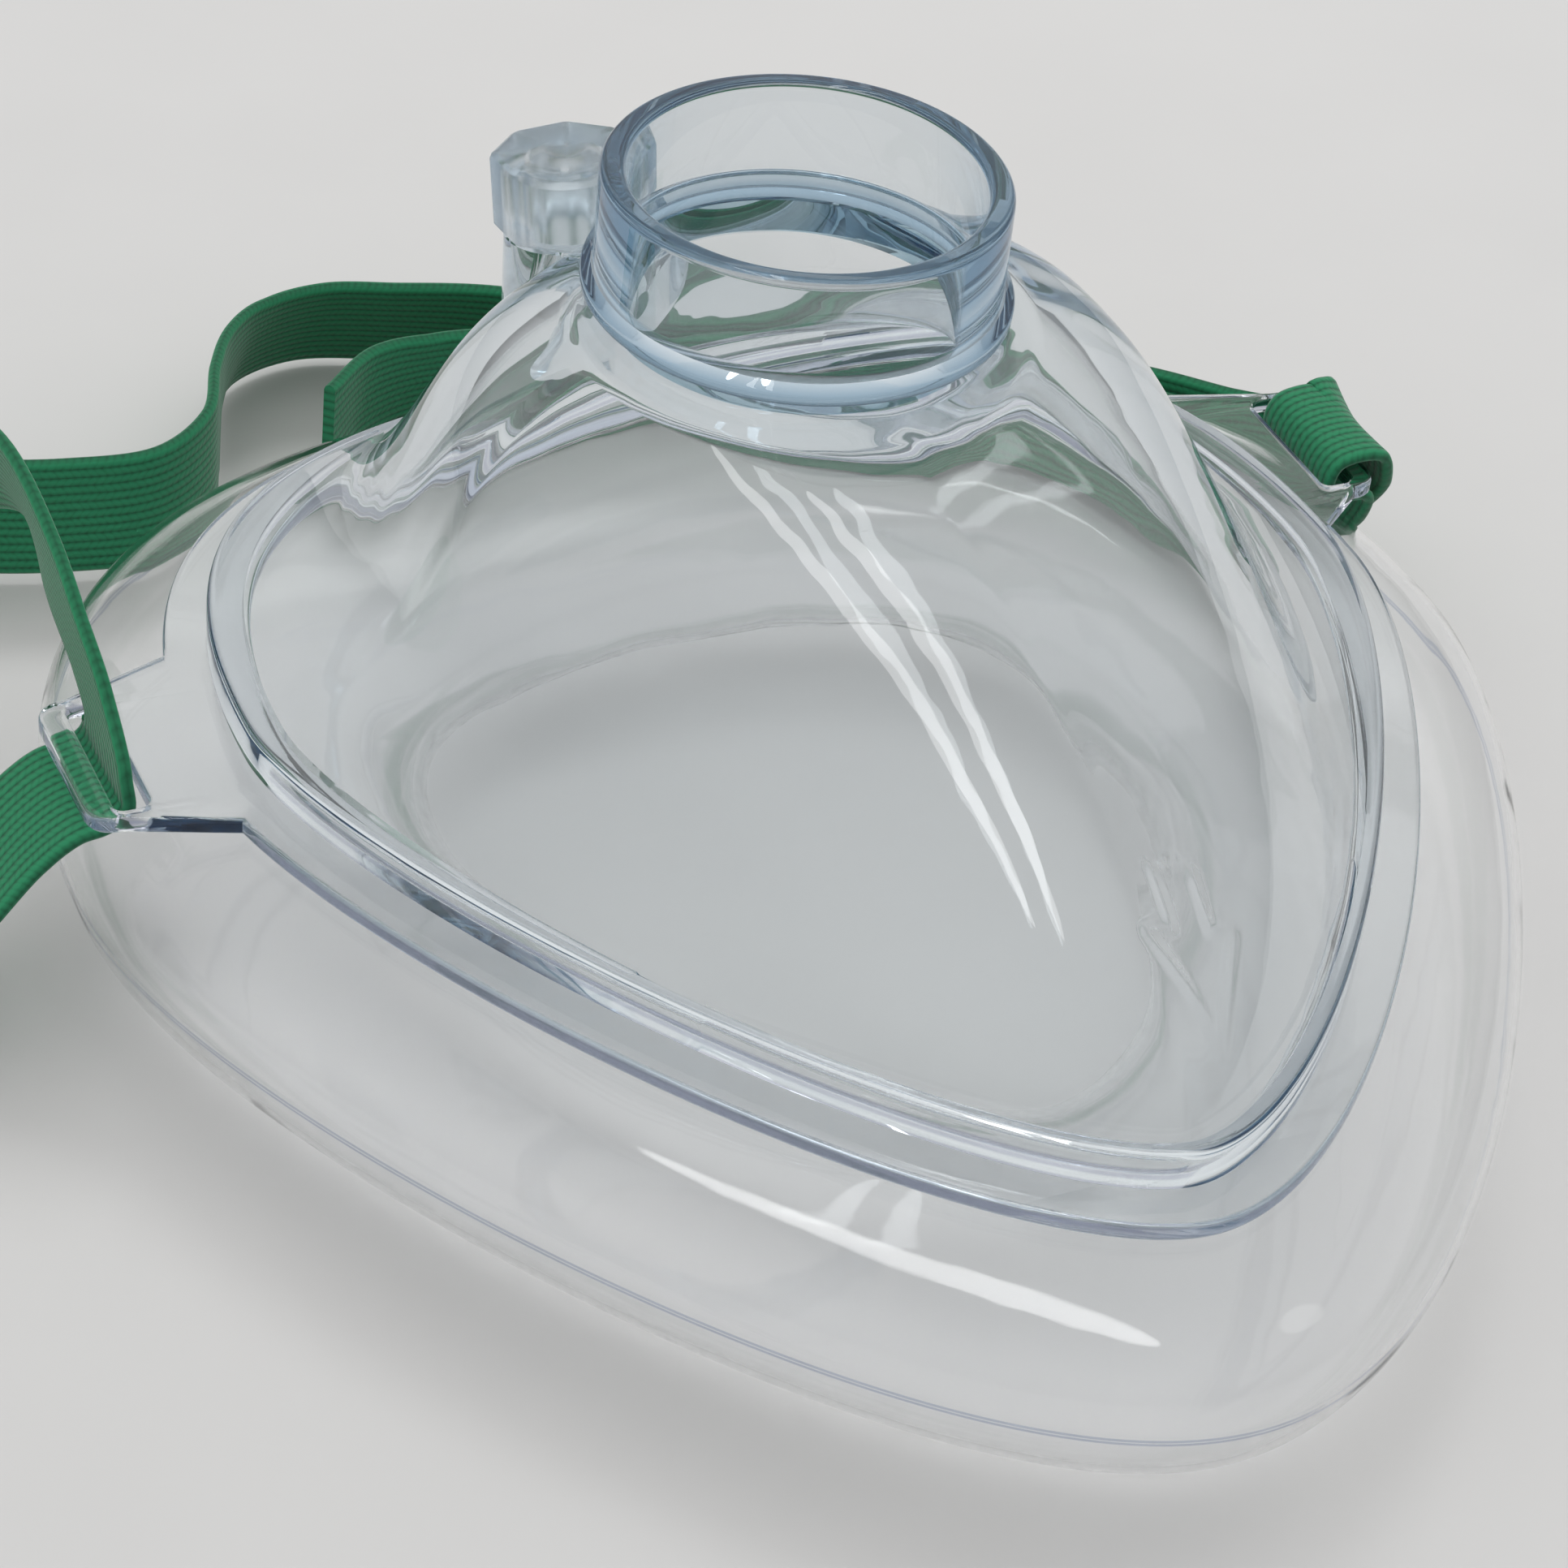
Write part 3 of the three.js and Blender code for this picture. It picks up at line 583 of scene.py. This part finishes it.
def make_boss():
    """The inlet's boss: its foot follows the dome, so its lower end is found along each line."""
    place = np.array(inlet_place())
    rim = outline(RIM, 60)
    dome = np.vstack(dome_surface(rim, np.linspace(0, 1, 160), FOOT_INSET, 0, PORT_COLLAR))
    into = np.linalg.inv(place)
    local = dome @ into[:3, :3].T + into[:3, 3]
    segments = 96
    angles = np.arange(segments) / segments * 2 * math.pi
    shoulder = -CAP_HEIGHT - BOSS_CLEAR
    tip = -CAP_HEIGHT + SOCKET_DEPTH - NIPPLE_CLEAR

    def foot_depth(angle, radius):
        spot = np.array([radius * math.cos(angle), radius * math.sin(angle)])
        near = np.argsort(np.linalg.norm(local[:, :2] - spot, axis=1))[:FOOT_NEAREST]
        return local[near, 2].mean() + FOOT_SINK

    def add_ring(radius, heights):
        rings.append(np.column_stack([radius * np.cos(angles), radius * np.sin(angles), heights]))

    rings = []
    for radius, lift in ((INLET_BORE, 0), (BOSS_FOOT + BOSS_FLARE, 0), (BOSS_FOOT, BOSS_LIP)):
        depth = np.array([foot_depth(a, radius) for a in angles])
        wrapped = np.concatenate([depth[-FOOT_BLUR:], depth, depth[:FOOT_BLUR]])
        depth = np.convolve(wrapped, np.ones(FOOT_BLUR) / FOOT_BLUR, "same")[FOOT_BLUR:-FOOT_BLUR]
        add_ring(radius, np.minimum(depth + lift, shoulder - BOSS_CLEAR))
    for radius, z in ((BOSS_TOP, shoulder), (NIPPLE_RADIUS, shoulder), (NIPPLE_RADIUS, tip + NIPPLE_EDGE),
                      (NIPPLE_RADIUS - NIPPLE_EDGE, tip), (INLET_BORE, tip)):
        add_ring(radius, np.full(segments, z))
    points = np.vstack(rings) @ place[:3, :3].T + place[:3, 3]
    boss = add_mesh("inlet_boss", points, ring_faces(segments, len(rings)), SHELL_CLEAR)
    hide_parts("oxygen_inlet")


make_boss()

# ---- head strap -----------------------------------------------------------------------------
STRAP_WIDTH, STRAP_THICKNESS, STRAP_SAMPLES = 9.4, 0.85, 9
LEFT_Y, RIGHT_Y = TABS[0][2], TABS[1][2]
LEFT_SLOT, RIGHT_SLOT = -(TABS[0][1] - SLOT_INSET), TABS[1][1] - SLOT_INSET
FLAT, FLAT_BACK, UPRIGHT = (0, 1, 0), (0, -1, 0), (0, 0, -1)
# The middle line, the direction of the width and how far the band is gathered (1 is flat).
STRAP_ROUTE = [
    ((-92, 3, 1.4), (0.2, 1, 0), 1), ((-78, 7.5, 1.6), (0.25, 1, 0), 1),
    ((-65, 11.2, 2.8), (0.2, 1, 0), 1), ((-56, 13.2, 7.2), (0.1, 1, 0), 1), ((-51, LEFT_Y, 11.8), FLAT, 1),
    ((-48.6, LEFT_Y, 13.5), FLAT, 1), ((-46.8, LEFT_Y, 13.9), FLAT, 1),
    ((LEFT_SLOT, LEFT_Y, 14.9), FLAT, 1), ((LEFT_SLOT, LEFT_Y, 16.6), FLAT, 0.9),
    ((-45.6, 15.4, 19), (0, 1, -0.3), 0.6), ((-45.7, 19, 21.2), (0.05, 0.8, -0.6), 0.6),
    ((-45.7, 24.4, 23), (0.1, 0.5, -0.8), 0.8), ((-45.7, 31, 24.4), (0.3, 0.2, -1), 1),
    ((-46.4, 38, 22.6), (0.5, 0, -1), 1), ((-49.6, 45.4, 17.4), (0.5, 0, -1), 1),
    ((-56, 50.6, 11.2), (0.3, 0, -1), 1), ((-64, 54.2, 6.9), (0.05, 0, -1), 1),
    ((-72, 58, 5.4), UPRIGHT, 1), ((-74, 64.6, 5.3), UPRIGHT, 1), ((-67, 67.2, 5.3), UPRIGHT, 1),
    ((-57, 63, 5.3), UPRIGHT, 1), ((-49, 58.6, 5.3), UPRIGHT, 1), ((-42.4, 56, 5.3), UPRIGHT, 1),
    ((-36, 54.2, 5.3), UPRIGHT, 1), ((-29.6, 53.8, 5.3), UPRIGHT, 1), ((-24.8, 57.4, 5.3), UPRIGHT, 1),
    ((-22.4, 62.8, 5.3), UPRIGHT, 1), ((-20.2, 67.8, 5.2), (-0.1, 0.1, -1), 1),
    ((-16.8, 72.2, 5), (-0.2, 0.35, -1), 1), ((-11.6, 74, 4.8), (-0.1, 0.45, -1), 1),
    ((-5.6, 72.4, 4.8), (0, 0.45, -1), 1), ((1.2, 69, 5), (0.1, 0.3, -1), 1),
    ((8, 62.8, 5.2), (0, 0.1, -1), 1), ((14.6, 58.6, 5.3), UPRIGHT, 1), ((22.4, 55, 5.3), UPRIGHT, 1),
    ((34.8, 49, 5.3), UPRIGHT, 1), ((42.8, 43.4, 5.3), UPRIGHT, 1), ((47.8, 38.4, 5.4), UPRIGHT, 1),
    ((50, 34, 6.6), (0, -0.2, -1), 1), ((50, 29.6, 9.6), (0, -0.6, -0.8), 1),
    ((49.4, 26.2, 12.9), (0, -0.85, -0.5), 1), ((48.4, 24.3, 15.4), (0, -1, -0.2), 1),
    ((47, RIGHT_Y, 16.9), FLAT_BACK, 1), ((45.2, RIGHT_Y, 17), FLAT_BACK, 1),
    ((44, RIGHT_Y, 16.6), FLAT_BACK, 1), ((RIGHT_SLOT, RIGHT_Y, 15.5), FLAT_BACK, 1),
    ((43.8, RIGHT_Y, 14.3), FLAT_BACK, 1), ((45.2, RIGHT_Y, 13.8), FLAT_BACK, 1),
    ((46.8, RIGHT_Y, 13.4), FLAT_BACK, 0.9), ((47.8, 24.4, 11.5), (0, -1, -0.3), 0.8),
    ((47.9, 26.6, 8.9), (0, -0.75, -0.65), 0.75), ((47.6, 29.8, 6.9), (0, -0.35, -0.95), 0.85),
    ((46.8, 33.4, 5.8), UPRIGHT, 0.95), ((44.8, 37.2, 5.3), UPRIGHT, 1), ((40.6, 41.6, 5.3), UPRIGHT, 1),
    ((33.8, 46.8, 5.3), UPRIGHT, 1), ((21.8, 52.6, 5.3), UPRIGHT, 1), ((12.6, 56, 5.3), UPRIGHT, 1),
    ((4.8, 59.4, 5.3), UPRIGHT, 1), ((-0.8, 62.4, 5.2), (0, 0.2, -1), 1), ((-6, 64, 5.1), (0, 0.3, -1), 1),
    ((-11.2, 62.4, 5.2), (-0.1, 0.1, -1), 1), ((-15.6, 57.8, 5.3), UPRIGHT, 1),
]


SHORTEST = 1e-4


def centripetal(points, samples):
    """Centripetal Catmull-Rom curve through points, samples steps to each stretch."""
    points = np.array(points, float)
    padded = np.vstack([2 * points[0] - points[1], points, 2 * points[-1] - points[-2]])
    curve = []
    for p0, p1, p2, p3 in zip(padded, padded[1:], padded[2:], padded[3:]):
        spans = ((p0, p1), (p1, p2), (p2, p3))
        d0, d1, d2 = (max(np.linalg.norm(b - a) ** 0.5, SHORTEST) for a, b in spans)
        d0, d2 = (d1 if d < 2 * SHORTEST else d for d in (d0, d2))
        t1 = ((p1 - p0) / d0 - (p2 - p0) / (d0 + d1) + (p2 - p1) / d1) * d1
        t2 = ((p2 - p1) / d1 - (p3 - p1) / (d1 + d2) + (p3 - p2) / d2) * d1
        for t in np.arange(samples) / samples:
            square, cube = 3 * (p2 - p1) - 2 * t1 - t2, 2 * (p1 - p2) + t1 + t2
            curve.append(p1 + t1 * t + square * t ** 2 + cube * t ** 3)
    return np.array(curve + [points[-1]])


def strap_section():
    """Points round the band: across it and through it. Two faces and two rounded edges."""
    half_thick = STRAP_THICKNESS / 2
    half_face = STRAP_WIDTH / 2 - half_thick
    face = np.linspace(-1, 1, 15) * half_face
    edge = [(half_face + half_thick * math.cos(a), half_thick * math.sin(a)) for a in (0.8, 0, -0.8)]
    section = [(a, half_thick) for a in face] + edge
    return section + [(a, -half_thick) for a in face[::-1]] + [(-a, b) for a, b in edge[::-1]]


def make_strap():
    middle = centripetal([at for at, _, _ in STRAP_ROUTE], STRAP_SAMPLES)
    width = centripetal([across for _, across, _ in STRAP_ROUTE], STRAP_SAMPLES)
    gather = centripetal([(share, 0, 0) for _, _, share in STRAP_ROUTE], STRAP_SAMPLES)[:, 0]
    along = np.gradient(middle, axis=0)
    along /= np.linalg.norm(along, axis=1)[:, None]
    across = width - (width * along).sum(1)[:, None] * along
    across /= np.linalg.norm(across, axis=1)[:, None]
    through = np.cross(along, across)
    distance = np.concatenate([[0], np.cumsum(np.linalg.norm(np.diff(middle, axis=0), axis=1))])
    section = strap_section()
    points = []
    for k in range(len(middle)):
        for a, b in section:
            points.append(middle[k] + across[k] * a * gather[k] + through[k] * b)
    around = len(section)
    faces = ring_faces(around, len(middle), closed=False)
    faces += [tuple(range(around)), tuple(range(len(points) - around, len(points)))]
    strap = add_mesh("elastic_head_strap", points, faces, STRAP_GREEN, smooth_angle=60)
    layer = strap.data.uv_layers.new(name="band")
    for loop in strap.data.loops:
        k, s = divmod(loop.vertex_index, around)
        layer.data[loop.index].uv = (section[s][0] / STRAP_WIDTH + 0.5, distance[k] / STRAP_WIDTH)
    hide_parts("head_strap")


make_strap()

# ---- table, light ---------------------------------------------------------------------------
TABLE_HALF, TABLE_Z = 1.5, -0.0001
# The room's brightness from below (0) to above (1).
ROOM_STEPS = ((0.0, 0.24), (0.12, 0.42), (0.32, 0.70), (0.6, 0.85), (1.0, 0.90))
LIGHT_BOUNCES = 64
MASK_MIDDLE = Vector((0, 0, 0.02))


def table_material():
    material, nodes, links, shader = new_material("table")
    place = nodes.new("ShaderNodeTexCoord").outputs["Object"]
    ramp = nodes.new("ShaderNodeValToRGB")
    ramp.color_ramp.elements[0].color = (0.64, 0.635, 0.63, 1)
    ramp.color_ramp.elements[1].color = (0.68, 0.675, 0.67, 1)
    links.new(noise(nodes, links, place, 40.0, 4.0), ramp.inputs[0])
    links.new(ramp.outputs[0], shader.inputs["Base Color"])
    shader.inputs["Roughness"].default_value = 0.6
    shader.inputs["Specular IOR Level"].default_value = 0.3
    return material


def make_table():
    mesh = bpy.data.meshes.new("table")
    corners = ((-1, -1), (1, -1), (1, 1), (-1, 1))
    mesh.from_pydata([(x * TABLE_HALF, y * TABLE_HALF, TABLE_Z) for x, y in corners], [], [(0, 1, 2, 3)])
    mesh.materials.append(table_material())
    table = bpy.data.objects.new("table", mesh)
    bpy.context.scene.collection.objects.link(table)


make_table()


def make_world():
    world = bpy.data.worlds.new("room")
    world.use_nodes = True
    nodes, links = world.node_tree.nodes, world.node_tree.links
    split = nodes.new("ShaderNodeSeparateXYZ")
    links.new(nodes.new("ShaderNodeTexCoord").outputs["Generated"], split.inputs[0])
    ramp = nodes.new("ShaderNodeValToRGB")
    while len(ramp.color_ramp.elements) < len(ROOM_STEPS):
        ramp.color_ramp.elements.new(0.5)
    for element, (position, level) in zip(ramp.color_ramp.elements, ROOM_STEPS):
        element.position = position
        element.color = (level, level, level * 0.995, 1)
    links.new(split.outputs[2], ramp.inputs[0])
    background = nodes["Background"]
    links.new(ramp.outputs[0], background.inputs["Color"])
    background.inputs["Strength"].default_value = 1.0
    bpy.context.scene.world = world


make_world()


def tube_light(name, start, end, width, power, only=()):
    """A straight lamp between two points, facing the middle of the mask. It lights every piece, or
    only the ones named."""
    start, end = Vector(start), Vector(end)
    middle = (start + end) / 2
    along = (end - start).normalized()
    back = middle - MASK_MIDDLE
    back = (back - along * back.dot(along)).normalized()
    data = bpy.data.lights.new(name, "AREA")
    data.shape = "ELLIPSE"
    data.size, data.size_y = (end - start).length, width
    data.energy = power
    light = bpy.data.objects.new(name, data)
    bpy.context.scene.collection.objects.link(light)
    turn = Matrix((along, back.cross(along), back)).transposed()
    light.matrix_world = Matrix.Translation(middle) @ turn.to_4x4()
    if only:
        lit = bpy.data.collections.new(name + "_lights")
        for piece in only:
            lit.objects.link(bpy.data.objects[piece])
        light.light_linking.receiver_collection = lit


SOFT_PIECES = ["air_cushion_film", "rim_and_tabs", "elastic_head_strap", "inlet_cap"]
HARD_PIECES = ["domed_shell", "port_ring", "inlet_boss"]
tube_light("near_tube", start=(-0.66, 0.26, 1.6), end=(0.02, -0.95, 1.6),
           width=0.24, power=5.6, only=SOFT_PIECES)
tube_light("twin_tube_left", start=(0.22, 0.98, 1.6), end=(-0.75, -0.70, 1.6),
           width=0.07, power=1.5, only=HARD_PIECES)
tube_light("twin_tube_right", start=(0.36, 0.90, 1.6), end=(-0.60, -0.78, 1.6),
           width=0.07, power=1.5, only=HARD_PIECES)
tube_light("back_window", start=(0.3, 1.2, 1.3), end=(0.9, 0.9, 1.3),
           width=0.5, power=7.5, only=["table"])
tube_light("window", start=(0.9, -0.45, 0.7), end=(0.9, -0.75, 1.1),
           width=0.25, power=0.5, only=SOFT_PIECES)

scene = bpy.context.scene
scene.view_settings.view_transform = "Standard"
scene.cycles.max_bounces = LIGHT_BOUNCES
scene.cycles.transmission_bounces = LIGHT_BOUNCES
scene.cycles.glossy_bounces = LIGHT_BOUNCES
